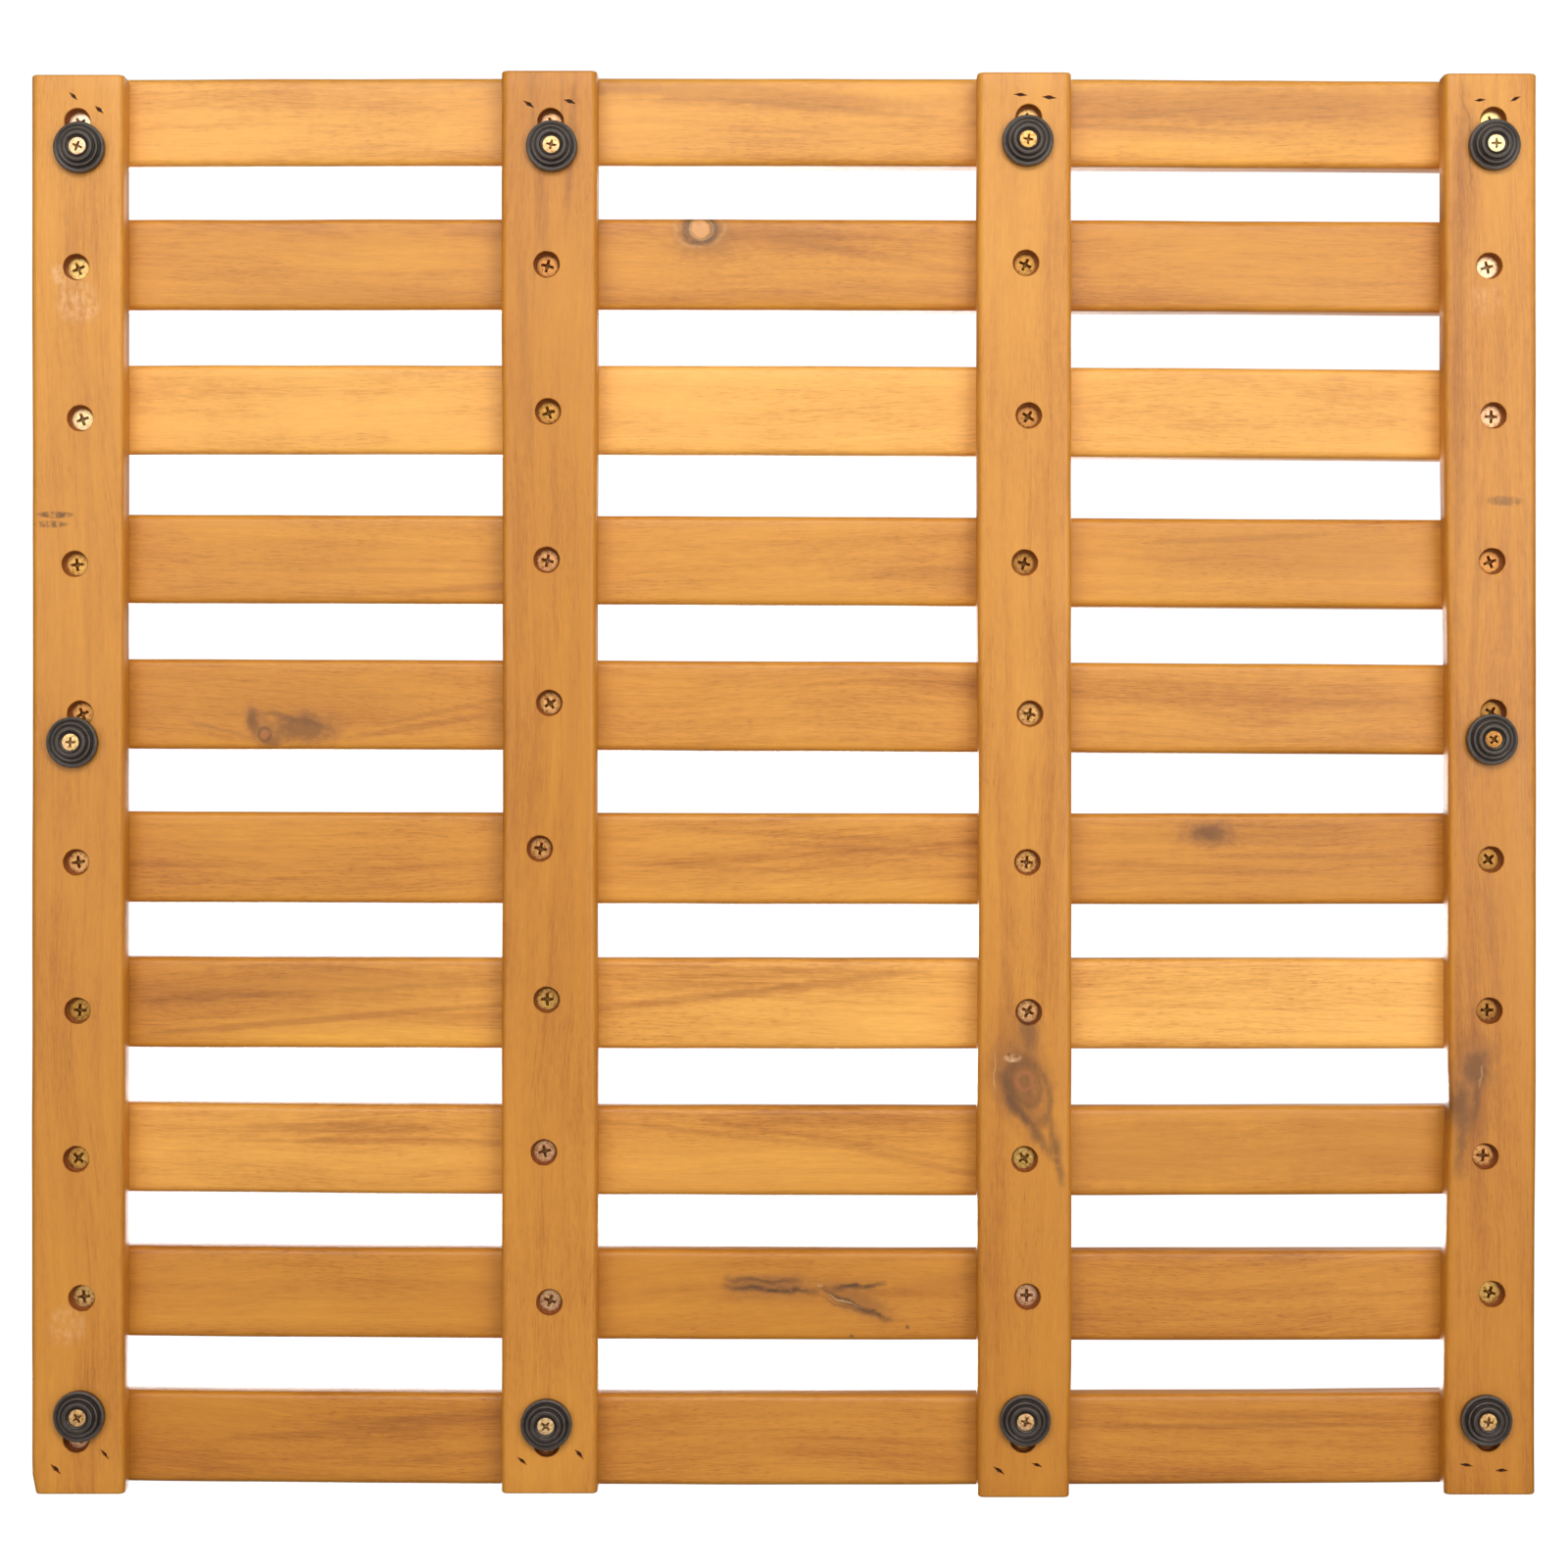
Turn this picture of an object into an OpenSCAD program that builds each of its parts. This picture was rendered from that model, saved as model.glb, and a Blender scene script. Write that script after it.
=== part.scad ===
// Slatted wooden bath mat: slats laid over rails, screwed from below, standing on rubber feet.
// The feet stand on z = 0, the slats run along X on top and the rails run along Y below them.

/* [Mat] */
// Length of the mat along X, which is the length of every slat
mat_length = 553.4; // [480:0.2:620]
// Width of the mat along Y, between the furthest ends of its rails
mat_width = 524.4; // [510:0.2:600]
// Thickness of every board
board_t = 12; // [12:1:18]
// Radius of the eased long edges of every board
edge_r = 2; // [0.5:0.5:4]

/* [Slats] */
// Width of a slat
slat_w = 33.4; // [28:0.1:38]
// How much wider or narrower each slat was cut, from the +Y end to the -Y end
slat_trim = [-0.8, 0.4, -0.1, -0.4, 0, 0.3, 0.1, -0.4, 0, 0.3]; // [-1:0.1:1]
// How far each hand-laid slat lies from even spacing, from the +Y end to the -Y end
slat_drift = [0, 1.7, 2, 0.9, 1.5, -0.3, 0.4, 0.5, 1.5, 2.5]; // [-3:0.1:3]

/* [Rails] */
// Width of a rail
rail_w = 34.2; // [30:0.1:40]
// How much wider or narrower each rail was cut, from the +X side to the -X side
rail_trim = [0, 1.1, 0.4, -0.2]; // [-2:0.1:2]
// How far each hand-laid rail lies from even spacing, from the +X side to the -X side
rail_drift = [0, -0.3, -1.9, -0.1]; // [-3:0.1:3]
// How far each rail stops short of the mat's +Y side
rail_short_front = [1.5, 0, 0.6, 1]; // [0:0.1:3]
// How far each rail stops short of the mat's -Y side
rail_short_back = [1.2, 1.4, 0, 1]; // [0:0.1:3]

/* [Slat screws] */
// Diameter of a slat screw over its thread
screw_d = 4; // [3:0.5:4.5]
// Diameter of a slat screw's countersunk head
screw_head_d = 8; // [7:0.5:8.5]
// Diameter of the plain counterbore above each slat screw
counterbore_d = 9.6; // [9:0.1:11]
// Depth of the sunk head below the rail's face
screw_sink = 4.5; // [2:0.5:5]
// Wood left between a slat screw's tip and the top of the slat
tip_cover = 3.5; // [2:0.5:5]
// How far each screw of rail 1 lies off the middle of its rail, from slat 1 to slat 10
screw_off_1 = [0, 0.5, -1, 1, -1, 0.5, 0, 0.5, -1.5, 0.5]; // [-4:0.5:4]
// How far each screw of rail 2 lies off the middle of its rail
screw_off_2 = [-0.5, 1, 0.5, 1, 0, 3.5, 1, 2, 0, 1]; // [-4:0.5:4]
// How far each screw of rail 3 lies off the middle of its rail
screw_off_3 = [-1.5, -0.5, -1.5, 0, -2, -1, -1.5, 0, -1, 0.5]; // [-4:0.5:4]
// How far each screw of rail 4 lies off the middle of its rail
screw_off_4 = [-1, 0.5, -1, -0.5, -1, 0, 0.5, 2, -0.5, 1]; // [-4:0.5:4]
// How far each screw of rail 1 lies along the rail from even spacing
screw_along_1 = [-2, -1, -2, -1, -1.5, -1.5, -1.5, -1.5, 2, 4.5]; // [-5:0.5:5]
// How far each screw of rail 2 lies along the rail from even spacing
screw_along_2 = [-2, 0, 0.5, 0.5, 2.5, 3.5, 2.5, 1, 0.5, 3]; // [-5:0.5:5]
// How far each screw of rail 3 lies along the rail from even spacing
screw_along_3 = [-0.5, 0.5, -1, -0.5, -1.5, -1.5, -2, -1.5, 2.5, 4.5]; // [-5:0.5:5]
// How far each screw of rail 4 lies along the rail from even spacing
screw_along_4 = [-1.5, -0.5, -1, 0, -1, -0.5, -1.5, -0.5, 3.5, 5]; // [-5:0.5:5]

/* [Feet] */
// Height of a rubber foot
foot_h = 6; // [5:0.5:10]
// Diameter of a foot where it meets the rail
foot_d = 18.8; // [17:0.2:20]
// Distance from the mat's side to the middle of the feet along it
foot_inset = 28.2; // [26:0.2:32]
// How far each foot lies off the middle of its rail: the +Y ends, the -Y ends, then the middle pair
foot_off = [-1, -1, -1, -1, -1, 1, 0, 2, 1.5, 0]; // [-2:0.5:2]
// How far each foot lies along its rail from its row
foot_along = [-0.5, 0, 2, 0.5, 2, -1, 0.5, 0.5, -1.5, -0.5]; // [-2:0.5:2]
// Diameter of a foot screw over its thread
foot_screw_d = 3; // [2.5:0.5:3.5]
// Diameter of a foot screw's countersunk head
foot_screw_head_d = 6.3; // [5.5:0.1:6.5]
// Length of a foot screw
foot_screw_l = 13; // [11:0.5:14]
// Depth of the dish around the foot screw's head
dish_depth = 0.9; // [0.4:0.1:1.5]

/* [Brads] */
// Diameter of a brad's shank
brad_d = 1.3; // [1:0.1:1.6]
// Diameter of a brad's head
brad_head_d = 2.1; // [1.8:0.1:2.6]
// Length of a brad
brad_l = 19; // [15:1:20]
// Depth of a brad's head below the rail's face
brad_sink = 1; // [0.5:0.1:2]
// How far each brad lies off the middle of its rail: two at the +Y end and two at the -Y end of each rail
brad_off = [1.5, -8, 8, -10, 7.5, -7.5, 10, -11, 1.5, -9, 9.5, -4.5, 4, -9, 9, -4]; // [-12:0.5:12]
// Distance of each brad from the mat's side, in the same order
brad_inset = [9.5, 14.5, 10.5, 16, 12.5, 11.5, 13.5, 16, 9, 10, 10, 12, 11, 10.5, 12, 10]; // [8:0.5:17]

/* [Hidden] */
slats = len(slat_drift);
rails = len(rail_drift);
slat_pitch = (mat_width - slat_w) / (slats - 1);
rail_pitch = (mat_length - rail_w) / (rails - 1);
rail_z = foot_h;
slat_z = rail_z + board_t;
top_z = slat_z + board_t;
end_foot_y = mat_width / 2 - foot_inset;
middle_slat = slats / 2 - 1;
middle_foot_setback = 12;

// Thickness of a brad's head
brad_head_t = 0.7;
// Play around a shank in its hole
play = 0.05;
// Height of the straight rim of a countersunk head
rim_h = 0.3;
// Reach of a cutting tool past a face
past = 1;

// A foot's three tiers, from the tip up: the radius of each and the height of its lower face
tiers = [[5.6, 0], [7.3, 1.3], [foot_d / 2, 2.7]];
tier_edge_r = 0.7;
groove_r = 0.35;
dish_top_r = 4.3;
dish_floor_r = foot_screw_head_d / 2 + play;

wood_colours = ["#d9963f", "#c9853a", "#e5a94f", "#c8823a"];
rail_colour = "#d08a3c";
rubber_colour = "#2e3236";
zinc_colour = "#cdb377";
steel_colour = "#6f6a62";
steps = 48;

// Repeatable scatter from -1 to 1, different for every seed
function scatter(seed) = sin(seed * 137.5 + 41 * sin(seed * 73));

function even_y(s) = ((slats - 1) / 2 - s) * slat_pitch;
function slat_y(s) = even_y(s) + slat_drift[s];
function rail_x(r) = ((rails - 1) / 2 - r) * rail_pitch + rail_drift[r];
function rail_l(r) = mat_width - rail_short_front[r] - rail_short_back[r];
function rail_y(r) = (rail_short_back[r] - rail_short_front[r]) / 2;

// The screws are driven by hand, near the middle of the rail and near the even spacing
screw_off = [screw_off_1, screw_off_2, screw_off_3, screw_off_4];
screw_along = [screw_along_1, screw_along_2, screw_along_3, screw_along_4];
function screw_x(r, s) = rail_x(r) + screw_off[r][s];
function screw_y(r, s) = even_y(s) + screw_along[r][s];

// The feet: one at each end of each rail, and one more in the middle of the two outer rails
end_feet = [for (side = [1, -1]) for (r = [0 : rails - 1]) [r, side * end_foot_y]];
mid_feet = [for (r = [0, rails - 1]) [r, slat_y(middle_slat) - middle_foot_setback]];
feet = concat(end_feet, mid_feet);

// The brads: two at each end of each rail, as [rail, x, y, index of the slat above]
brads = [for (b = [0 : len(brad_off) - 1])
    let (r = floor(b / 4), side = b % 4 < 2 ? 1 : -1)
        [r, rail_x(r) + brad_off[b], side * (mat_width / 2 - brad_inset[b]), side > 0 ? 0 : slats - 1]];

slat_names = [for (s = [1 : slats]) str("slat_", s)];
rail_names = [for (r = [1 : rails]) str("rail_", r)];
foot_names = [for (f = [1 : len(feet)]) str("foot_", f)];
foot_screw_names = [for (f = [1 : len(feet)]) str("foot_screw_", f)];
slat_screw_names = [for (r = [1 : rails]) str("slat_screws_rail_", r)];
brad_names = [for (r = [1 : rails]) str("brads_rail_", r)];

// Plank of the given length along X with its four long edges eased, its lower face at z = 0
module plank(l, w) {
    rotate([90, 0, 90])
        translate([0, 0, -l / 2])
            linear_extrude(l)
                union() {
                    translate([-w / 2 + edge_r, 0])
                        square([w - 2 * edge_r, board_t]);
                    translate([-w / 2, edge_r])
                        square([w, board_t - 2 * edge_r]);
                    for (x = [-1, 1], y = [edge_r, board_t - edge_r])
                        translate([x * (w / 2 - edge_r), y])
                            circle(edge_r, $fn = steps);
                }
}

// Height of a countersunk head with a 90 degree cone
function head_h(d, head_d) = rim_h + (head_d - d) / 2;

// Countersunk wood screw, the flat of its head at z = 0 and its point at z = l
module wood_screw(d, head_d, l) {
    point = 1.3 * d;
    slot_l = 0.56 * head_d;
    slot_w = 0.14 * head_d;
    slot_depth = 0.2 * head_d;
    difference() {
        rotate_extrude($fn = steps)
            polygon([
                [0, 0], [head_d / 2, 0], [head_d / 2, rim_h],
                [d / 2, head_h(d, head_d)], [d / 2, l - point], [0, l]
            ]);
        for (turn = [0, 90])
            rotate(turn)
                translate([-slot_l / 2, -slot_w / 2, -past])
                    cube([slot_l, slot_w, past + slot_depth]);
    }
}

// Hole that seats a countersunk head at z = 0, open to the radius bore_r for the height above it
module screw_hole(d, head_d, l, bore_r, bore_h) {
    shank_r = d / 2 + play;
    seat_r = head_d / 2 + play;
    rotate_extrude($fn = steps)
        polygon([
            [0, -bore_h], [bore_r, -bore_h], [bore_r, 0], [seat_r, 0],
            [seat_r, rim_h - play], [shank_r, head_h(d, head_d) - play],
            [shank_r, l + play], [0, l + play]
        ]);
}

module slat_screw() wood_screw(screw_d, screw_head_d, top_z - tip_cover - rail_z - screw_sink);

module slat_screw_hole() {
    screw_hole(
        screw_d, screw_head_d, top_z - tip_cover - rail_z - screw_sink,
        counterbore_d / 2, screw_sink + past
    );
}

module foot_screw_hole() {
    translate([0, 0, dish_depth])
        screw_hole(foot_screw_d, foot_screw_head_d, foot_screw_l, dish_floor_r, play);
}

// Headed brad, the flat of its head at z = 0 and its point at z = brad_l
module brad() {
    point = 2;
    rotate_extrude($fn = steps)
        polygon([
            [0, 0], [brad_head_d / 2, 0], [brad_head_d / 2, brad_head_t],
            [brad_d / 2, brad_head_t], [brad_d / 2, brad_l - point], [0, brad_l]
        ]);
}

module brad_hole() {
    translate([0, 0, -brad_sink - past])
        cylinder(h = past + brad_sink + brad_head_t, r = brad_head_d / 2 + play, $fn = steps);
    cylinder(h = brad_l + play, r = brad_d / 2 + play, $fn = steps);
}

module at_slat_screw(r, s) translate([screw_x(r, s), screw_y(r, s), rail_z + screw_sink]) children();
module at_brad(b) translate([b[1], b[2], rail_z + brad_sink]) children();
module at_foot(f) translate([rail_x(feet[f][0]) + foot_off[f], feet[f][1] + foot_along[f], 0]) children();

// One slat, counted from the +Y end, drilled for the screws and brads that reach into it
module slat(s) {
    color(wood_colours[s % len(wood_colours)])
        difference() {
            translate([0, slat_y(s), slat_z])
                plank(mat_length, slat_w + slat_trim[s]);
            for (r = [0 : rails - 1])
                at_slat_screw(r, s) slat_screw_hole();
            for (b = brads)
                if (b[3] == s) at_brad(b) brad_hole();
        }
}

// One rail, counted from the +X side, drilled for its slat screws, foot screws and brads
module rail(r) {
    color(rail_colour)
        difference() {
            translate([rail_x(r), rail_y(r), rail_z])
                rotate(90)
                    plank(rail_l(r), rail_w + rail_trim[r]);
            for (s = [0 : slats - 1])
                at_slat_screw(r, s) slat_screw_hole();
            for (f = [0 : len(feet) - 1])
                if (feet[f][0] == r) at_foot(f) foot_screw_hole();
            for (b = brads)
                if (b[0] == r) at_brad(b) brad_hole();
        }
}

// Half outline of one tier of a foot, with its lower edge rounded
module tier_outline(r, z) {
    translate([0, z + tier_edge_r])
        square([r, foot_h - z - tier_edge_r]);
    translate([0, z])
        square([r - tier_edge_r, foot_h - z]);
    translate([r - tier_edge_r, z + tier_edge_r])
        circle(tier_edge_r, $fn = steps);
}

// Rubber foot of three rounded tiers with a groove at the root of each, and a dish for the screw
module foot(f) {
    color(rubber_colour)
        at_foot(f)
            difference() {
                rotate_extrude($fn = 2 * steps)
                    difference() {
                        union() {
                            for (tier = tiers) tier_outline(tier[0], tier[1]);
                        }
                        for (k = [1 : len(tiers) - 1])
                            translate([tiers[k - 1][0] + groove_r, tiers[k][1]])
                                circle(groove_r, $fn = steps);
                    }
                translate([0, 0, -past])
                    cylinder(h = past, r = dish_top_r, $fn = steps);
                cylinder(h = dish_depth, r1 = dish_top_r, r2 = dish_floor_r, $fn = steps);
                foot_screw_hole();
            }
}

module foot_screw(f) {
    color(zinc_colour)
        at_foot(f)
            translate([0, 0, dish_depth])
                wood_screw(foot_screw_d, foot_screw_head_d, foot_screw_l);
}

// The screws of one rail, one into each slat, each turned to an angle of its own
module slat_screws(r) {
    color(zinc_colour)
        for (s = [0 : slats - 1])
            at_slat_screw(r, s)
                rotate(90 * scatter(slats * r + s + 31))
                    slat_screw();
}

module rail_brads(r) {
    color(steel_colour)
        for (b = brads)
            if (b[0] == r) at_brad(b) brad();
}

for (s = [0 : slats - 1]) slat(s);
for (r = [0 : rails - 1]) rail(r);
for (f = [0 : len(feet) - 1]) foot(f);
for (f = [0 : len(feet) - 1]) foot_screw(f);
for (r = [0 : rails - 1]) slat_screws(r);
for (r = [0 : rails - 1]) rail_brads(r);
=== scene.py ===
"""Looks of the slatted wooden bath mat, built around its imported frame.

The mat stands on its feet with +Z up. The camera looks up at it from below, with +Y at the top of
the picture and -X on the right. The floor shows from above only, so it doesn't hide the underside.
"""

import math
import random
from collections import namedtuple
from functools import partial

import bmesh
import bpy
import numpy as np
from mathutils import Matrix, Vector, noise


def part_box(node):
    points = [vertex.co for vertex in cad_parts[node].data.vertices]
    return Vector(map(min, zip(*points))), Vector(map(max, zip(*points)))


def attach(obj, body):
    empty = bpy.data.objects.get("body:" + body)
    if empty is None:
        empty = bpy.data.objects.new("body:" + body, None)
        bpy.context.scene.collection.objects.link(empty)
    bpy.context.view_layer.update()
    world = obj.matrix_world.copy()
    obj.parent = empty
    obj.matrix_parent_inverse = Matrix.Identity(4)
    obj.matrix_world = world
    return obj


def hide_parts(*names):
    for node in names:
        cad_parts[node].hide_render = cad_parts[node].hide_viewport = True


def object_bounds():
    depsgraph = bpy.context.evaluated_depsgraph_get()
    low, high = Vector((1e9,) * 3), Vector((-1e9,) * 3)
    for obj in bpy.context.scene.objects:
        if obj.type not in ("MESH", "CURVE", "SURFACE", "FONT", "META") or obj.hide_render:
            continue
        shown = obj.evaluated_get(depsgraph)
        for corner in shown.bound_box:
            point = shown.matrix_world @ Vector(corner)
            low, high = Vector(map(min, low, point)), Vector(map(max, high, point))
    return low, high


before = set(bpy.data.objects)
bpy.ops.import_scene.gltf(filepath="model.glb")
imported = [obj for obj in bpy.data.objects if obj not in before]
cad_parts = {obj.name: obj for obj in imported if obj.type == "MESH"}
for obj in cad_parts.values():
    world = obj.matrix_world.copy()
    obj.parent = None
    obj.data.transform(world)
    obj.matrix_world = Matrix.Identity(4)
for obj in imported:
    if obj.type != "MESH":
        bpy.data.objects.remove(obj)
cad_lo, cad_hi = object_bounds()

MM = 0.001
ALONG_X, ALONG_Y = 0, 1

# Fasteners and the holes they sit in, as the frame has them
SCREW_R = 2.0 * MM
SCREW_HEAD_R = 4.0 * MM
COUNTERBORE_R = 4.8 * MM
FOOT_SCREW_R = 1.5 * MM
FOOT_SCREW_HEAD_R = 3.15 * MM
HEAD_RIM = 0.3 * MM
PLAY = 0.05 * MM
BRAD_R = 0.65 * MM
SCREW_REACH = 9 * MM
BRAD_REACH = 3 * MM
SCREW_PITCH = 1.8 * MM
FOOT_SCREW_PITCH = 1.35 * MM

# Boards
END_R = 0.9 * MM
EDGE_R = 2.6 * MM
EDGE_R_CHANGE = 0.4 * MM
SAW_ROUGHNESS = 0.12 * MM
STATION_STEP = 6 * MM
END_STATIONS = 4
BRAD_BORE = 13 * MM

# Camera, light and floor
CAMERA_DISTANCE = 1.2
SENSOR = 36.0
FRAME_WIDTH = 0.576
BELOW_GLOW = 0.58
SIDE_GLOW = 0.10
FLOOR_HALF = 4.0
FLOOR_GAP = 0.5 * MM


# ---------------- mesh helpers


def new_object(name, mesh):
    obj = bpy.data.objects.new(name, mesh)
    bpy.context.scene.collection.objects.link(obj)
    return obj


def mesh_from(name, verts, faces):
    mesh = bpy.data.meshes.new(name)
    mesh.from_pydata([tuple(v) for v in verts], [], faces)
    mesh.update()
    return mesh


def face_outwards(mesh):
    bm = bmesh.new()
    bm.from_mesh(mesh)
    bmesh.ops.recalc_face_normals(bm, faces=bm.faces)
    bm.to_mesh(mesh)
    bm.free()


def smooth(mesh, angle=35):
    """Smooth shading, with edges sharper than the angle kept crisp."""
    mesh.polygons.foreach_set("use_smooth", [True] * len(mesh.polygons))
    mesh.set_sharp_from_angle(angle=math.radians(angle))


def lathe(profile, steps, wobble=0.0, seed=0):
    """Vertices and faces of a profile of (radius, height) turned about Z, from axis to axis."""
    verts, faces, rings = [], [], []
    for r, z in profile:
        if r <= 0:
            rings.append([len(verts)])
            verts.append((0.0, 0.0, z))
            continue
        ring = []
        for i in range(steps):
            a = 2 * math.pi * i / steps
            rr = r + wobble * noise.noise(Vector((3 * math.cos(a), 3 * math.sin(a), seed + z / MM)))
            ring.append(len(verts))
            verts.append((rr * math.cos(a), rr * math.sin(a), z))
        rings.append(ring)
    for low, high in zip(rings, rings[1:]):
        for i in range(steps):
            j = (i + 1) % steps
            if len(low) == 1:
                faces.append((low[0], high[j], high[i]))
            elif len(high) == 1:
                faces.append((low[i], low[j], high[0]))
            else:
                faces.append((low[i], low[j], high[j], high[i]))
    return verts, faces


def store(mesh, name, values):
    """One number for each vertex, for a material to read."""
    layer = mesh.attributes.new(name, "FLOAT", "POINT")
    layer.data.foreach_set("value", np.asarray(values, np.float32))


def vertices_of(mesh):
    co = np.empty(len(mesh.vertices) * 3)
    mesh.vertices.foreach_get("co", co)
    return co.reshape(-1, 3)


def merged(parts):
    """One list of vertices and faces from several of them."""
    verts, faces = [], []
    for part_verts, part_faces in parts:
        base = len(verts)
        verts.extend(part_verts)
        faces.extend(tuple(base + i for i in face) for face in part_faces)
    return verts, faces


def stacked(levels):
    """Closed solid through outlines of equally many points, laid one above the other."""
    n = len(levels[0])
    verts = [point for level in levels for point in level]
    top = len(verts)
    faces = [tuple(range(n)), tuple(range(top - 1, top - n - 1, -1))]
    for k in range(0, top - n, n):
        for i in range(n):
            j = (i + 1) % n
            faces.append((k + j, k + i, k + n + i, k + n + j))
    return verts, faces


def placed(part, at, turn=0.0):
    """The same part turned about Z and then moved to a place."""
    c, s = math.cos(turn), math.sin(turn)
    verts = [(at[0] + c * x - s * y, at[1] + s * x + c * y, at[2] + z) for x, y, z in part[0]]
    return verts, part[1]


def cut(obj, cutter_part):
    """Takes the cutter's closed volume out of the object's mesh."""
    cutter = new_object("cutter", mesh_from("cutter", *cutter_part))
    face_outwards(cutter.data)
    tool = obj.modifiers.new("cut", "BOOLEAN")
    tool.operation = "DIFFERENCE"
    tool.solver = "MANIFOLD"
    tool.object = cutter
    graph = bpy.context.evaluated_depsgraph_get()
    result = bpy.data.meshes.new_from_object(obj.evaluated_get(graph), depsgraph=graph)
    obj.modifiers.clear()
    old = obj.data
    obj.data = result
    bpy.data.meshes.remove(old)
    bpy.data.objects.remove(cutter)


def places(node, reach):
    """Centre and lowest z of each separate solid of a node, which lie further apart than reach."""
    co = vertices_of(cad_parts[node].data)
    left = np.ones(len(co), bool)
    found = []
    while left.any():
        first = co[np.argmax(left)]
        near = left & (np.hypot(co[:, 0] - first[0], co[:, 1] - first[1]) < reach)
        group = co[near]
        middle = (group.min(0) + group.max(0)) / 2
        found.append(Vector((middle[0], middle[1], group[:, 2].min())))
        left &= ~near
    return sorted(found, key=lambda v: (-round(v.y, 3), -v.x))


# ---------------- boards


def outline(width, thick, r, wide_cells=8, side_cells=2, corner_cells=5):
    """Points round a board's cross-section, as (across, up), from the right of the lower face."""
    x, z = width / 2 - r, thick / 2 - r
    corners = [(x, -z, -90), (x, z, 0), (-x, z, 90), (-x, -z, 180)]
    points = []
    for k, (cx, cz, start) in enumerate(corners):
        for i in range(corner_cells + 1):
            a = math.radians(start + 90 * i / corner_cells)
            points.append((cx + r * math.cos(a), cz + r * math.sin(a)))
        nx, nz, nstart = corners[(k + 1) % 4]
        cells = side_cells if k % 2 == 0 else wide_cells
        a = math.radians(nstart)
        begin = points[-1]
        run = nx + r * math.cos(a) - begin[0]
        rise = nz + r * math.sin(a) - begin[1]
        points += [(begin[0] + run * i / cells, begin[1] + rise * i / cells) for i in range(1, cells)]
    return points


def lay_of(lay, length, s):
    """Sideways shift of a board at s along it: its slope, and a slight bow about its mean line."""
    return lay["slope"] * s + lay["bow"] * (1 / 3 - (2 * s / length) ** 2)


def ease(x):
    """Smooth step from 0 to 1."""
    x = min(1.0, max(0.0, x))
    return x * x * (3 - 2 * x)


def wane(lay, s, side):
    """How far a board's edge is drawn in at s, where it was cut near the bark or trimmed."""
    depth = 0.0
    for edge, start, end, fade, amount in lay.get("wanes", ()):
        if edge == side:
            depth += amount * ease((s - start + fade) / fade) * ease((end + fade - s) / fade)
    return depth


def stations_of(length):
    """Places along a board, as (distance from its middle, inset of its rounded end)."""
    start = []
    for i in range(END_STATIONS):
        a = math.radians(90 * i / (END_STATIONS - 1))
        start.append((-length / 2 + END_R * (1 - math.cos(a)), END_R * (1 - math.sin(a))))
    cells = int(length / STATION_STEP)
    inner = length - 2 * END_R
    middle = [(-inner / 2 + inner * i / cells, 0.0) for i in range(1, cells)]
    return start + middle + [(-s, inset) for s, inset in reversed(start)]


def board(name, axis, lay, seed):
    """A board in the place of its CAD node: eased edges that vary a little, rounded ends, a bow."""
    lo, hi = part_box(name)
    centre = (lo + hi) / 2
    size = hi - lo
    length, width, thick = size[axis], size[1 - axis], size[2]
    verts, starts = [], []
    for s, inset in stations_of(length):
        wave = noise.noise(Vector((s / 0.05, seed * 3.1, 0)))
        r = max(EDGE_R + EDGE_R_CHANGE * wave - inset, 0.6 * MM)
        shift = lay_of(lay, length, s)
        starts.append(len(verts))
        for across, up in outline(width - 2 * inset, thick - 2 * inset, r):
            side = 1 if across > 0 else -1
            edge = min(1.0, abs(across) / (width / 2))
            rough = noise.noise(Vector((s / 0.035, side * 5 + seed, up / 0.01)))
            proud = SAW_ROUGHNESS * rough * edge**4 - wane(lay, s, side) * edge**3
            point = [0.0, 0.0, centre.z + up]
            point[axis] = centre[axis] + s
            point[1 - axis] = centre[1 - axis] + across + side * proud + shift
            verts.append(point)
    n = starts[1]
    faces = []
    for a in starts[:-1]:
        for i in range(n):
            j = (i + 1) % n
            faces.append((a + i, a + j, a + n + j, a + n + i))
    faces += [tuple(range(n))[::-1], tuple(range(starts[-1], len(verts)))]
    if axis == ALONG_X:
        faces = [face[::-1] for face in faces]
    mesh = mesh_from(name + "_board", verts, faces)
    face_outwards(mesh)
    return new_object(name + "_board", mesh), centre, size


def add_grain(obj, centre, size, axis, lay):
    """Stores each vertex's place in its own board, as along, across and up, for the wood."""
    co = vertices_of(obj.data)
    s = co[:, axis] - centre[axis]
    across = co[:, 1 - axis] - centre[1 - axis] - lay_of(lay, size[axis], s)
    up = co[:, 2] - centre.z
    grain = obj.data.attributes.new("grain", "FLOAT_VECTOR", "POINT")
    grain.data.foreach_set("vector", np.stack([s, across, up], 1).astype(np.float32).ravel())


def paint_bores(mesh, centre, size, axis):
    """Gives the walls of every hole the mesh's second material, which paints them darker as shade."""
    for poly in mesh.polygons:
        c = poly.center - centre
        inside_up = abs(c.z) < size.z / 2 - 0.15 * MM
        inside_across = abs(c[1 - axis]) < size[1 - axis] / 2 - 3.6 * MM
        inside_along = abs(c[axis]) < size[axis] / 2 - 2 * MM
        if inside_up and inside_across and inside_along:
            poly.material_index = 1


# ---------------- holes


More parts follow.
